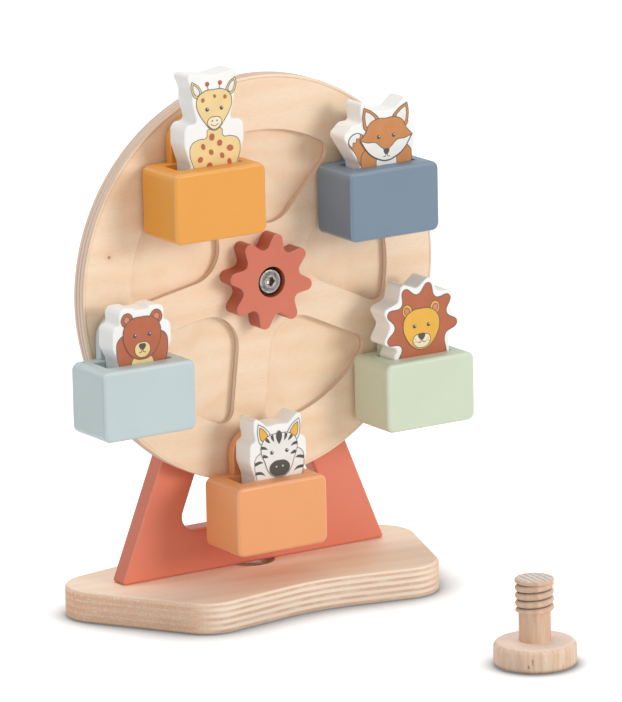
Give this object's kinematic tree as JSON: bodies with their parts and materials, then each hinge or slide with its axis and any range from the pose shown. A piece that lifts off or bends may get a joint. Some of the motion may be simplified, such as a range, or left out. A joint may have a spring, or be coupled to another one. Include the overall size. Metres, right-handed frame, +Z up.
{
  "type": "crank ferris wheel toy",
  "caption": "Tabletop Ferris wheel toy: a plywood wheel on an A-shaped stand, turned by hand, with hanging boxes that stay level and lift-out animal figures.",
  "frame": {"origin": "on the underside of the base, on the axis of its screw hole, straight below the middle of the stand", "axes": "+Z up, +X along the stand to the right as seen from the front, +Y from the front of the toy to its back"},
  "size_m": [0.2429, 0.2866, 0.3104],
  "materials": {
    "birch_plywood": "clear satin lacquer over pale birch plywood, plies showing on the edges",
    "beech": "clear satin lacquer over turned beech",
    "terracotta_paint": "satin terracotta paint on plywood",
    "ochre_paint": "satin ochre paint on wood",
    "slate_paint": "satin slate blue paint on wood",
    "sage_paint": "satin sage green paint on wood",
    "apricot_paint": "satin apricot paint on wood",
    "mist_paint": "satin pale blue grey paint on wood",
    "white_paint": "satin white paint on wood",
    "zinc_steel": "bright zinc plate",
    "natural_nylon": "plain natural nylon"
  },
  "bodies": {
    "stand": {"base": "birch_plywood", "stand": "terracotta_paint", "stand_screws": "zinc_steel", "axle_bolt": "zinc_steel", "axle_washer": "zinc_steel", "axle_bush": "natural_nylon", "wheel_spacer": "natural_nylon", "axle_nut": "zinc_steel"},
    "wheel": {"wheel": "birch_plywood", "hub_gear": "terracotta_paint", "gear_dowels": "beech", "pivot_bolts": "zinc_steel", "pivot_washers": "zinc_steel", "pivot_bushes": "natural_nylon", "pivot_nuts": "zinc_steel"},
    "gondola_giraffe": {"gondola_box_giraffe": "ochre_paint", "hanger_giraffe": "ochre_paint"},
    "figure_giraffe": {"figure_giraffe": "white_paint"},
    "gondola_fox": {"gondola_box_fox": "slate_paint", "hanger_fox": "slate_paint"},
    "figure_fox": {"figure_fox": "white_paint"},
    "gondola_lion": {"gondola_box_lion": "sage_paint", "hanger_lion": "sage_paint"},
    "figure_lion": {"figure_lion": "white_paint"},
    "gondola_zebra": {"gondola_box_zebra": "apricot_paint", "hanger_zebra": "apricot_paint"},
    "figure_zebra": {"figure_zebra": "white_paint"},
    "gondola_bear": {"gondola_box_bear": "mist_paint", "hanger_bear": "mist_paint"},
    "figure_bear": {"figure_bear": "white_paint"},
    "wooden_screw": {"wooden_screw": "beech"}
  },
  "joints": [
    {"name": "wheel_spin", "type": "hinge", "parent": "stand", "child": "wheel", "pos_m": [0, -0.0135, 0.184], "axis": [0, 1, 0], "continuous": true},
    {"name": "gondola_giraffe_swing", "type": "hinge", "parent": "wheel", "child": "gondola_giraffe", "pos_m": [-0.04722, -0.02345, 0.26919], "axis": [0, 1, 0], "continuous": true},
    {"name": "gondola_fox_swing", "type": "hinge", "parent": "wheel", "child": "gondola_fox", "pos_m": [0.06643, -0.02345, 0.25523], "axis": [0, 1, 0], "continuous": true},
    {"name": "gondola_lion_swing", "type": "hinge", "parent": "wheel", "child": "gondola_lion", "pos_m": [0.08827, -0.02345, 0.14284], "axis": [0, 1, 0], "continuous": true},
    {"name": "gondola_zebra_swing", "type": "hinge", "parent": "wheel", "child": "gondola_zebra", "pos_m": [-0.01187, -0.02345, 0.08733], "axis": [0, 1, 0], "continuous": true},
    {"name": "gondola_bear_swing", "type": "hinge", "parent": "wheel", "child": "gondola_bear", "pos_m": [-0.09561, -0.02345, 0.16542], "axis": [0, 1, 0], "continuous": true},
    {"name": "figure_giraffe_lift", "type": "slide", "parent": "gondola_giraffe", "child": "figure_giraffe", "axis": [0, 0, 1], "range_m": [0, 0.024]},
    {"name": "figure_fox_lift", "type": "slide", "parent": "gondola_fox", "child": "figure_fox", "axis": [0, 0, 1], "range_m": [0, 0.024]},
    {"name": "figure_lion_lift", "type": "slide", "parent": "gondola_lion", "child": "figure_lion", "axis": [0, 0, 1], "range_m": [0, 0.024]},
    {"name": "figure_zebra_lift", "type": "slide", "parent": "gondola_zebra", "child": "figure_zebra", "axis": [0, 0, 1], "range_m": [0, 0.024]},
    {"name": "figure_bear_lift", "type": "slide", "parent": "gondola_bear", "child": "figure_bear", "axis": [0, 0, 1], "range_m": [0, 0.024]},
    {"name": "wooden_screw_lift", "type": "slide", "parent": "stand", "child": "wooden_screw", "axis": [0, 0, 1], "range_m": [0, 0.06]}
  ],
  "couplings": [
    {"joint": "gondola_giraffe_swing", "follows": "wheel_spin", "ratio": -1},
    {"joint": "gondola_fox_swing", "follows": "wheel_spin", "ratio": -1},
    {"joint": "gondola_lion_swing", "follows": "wheel_spin", "ratio": -1},
    {"joint": "gondola_zebra_swing", "follows": "wheel_spin", "ratio": -1},
    {"joint": "gondola_bear_swing", "follows": "wheel_spin", "ratio": -1}
  ]
}
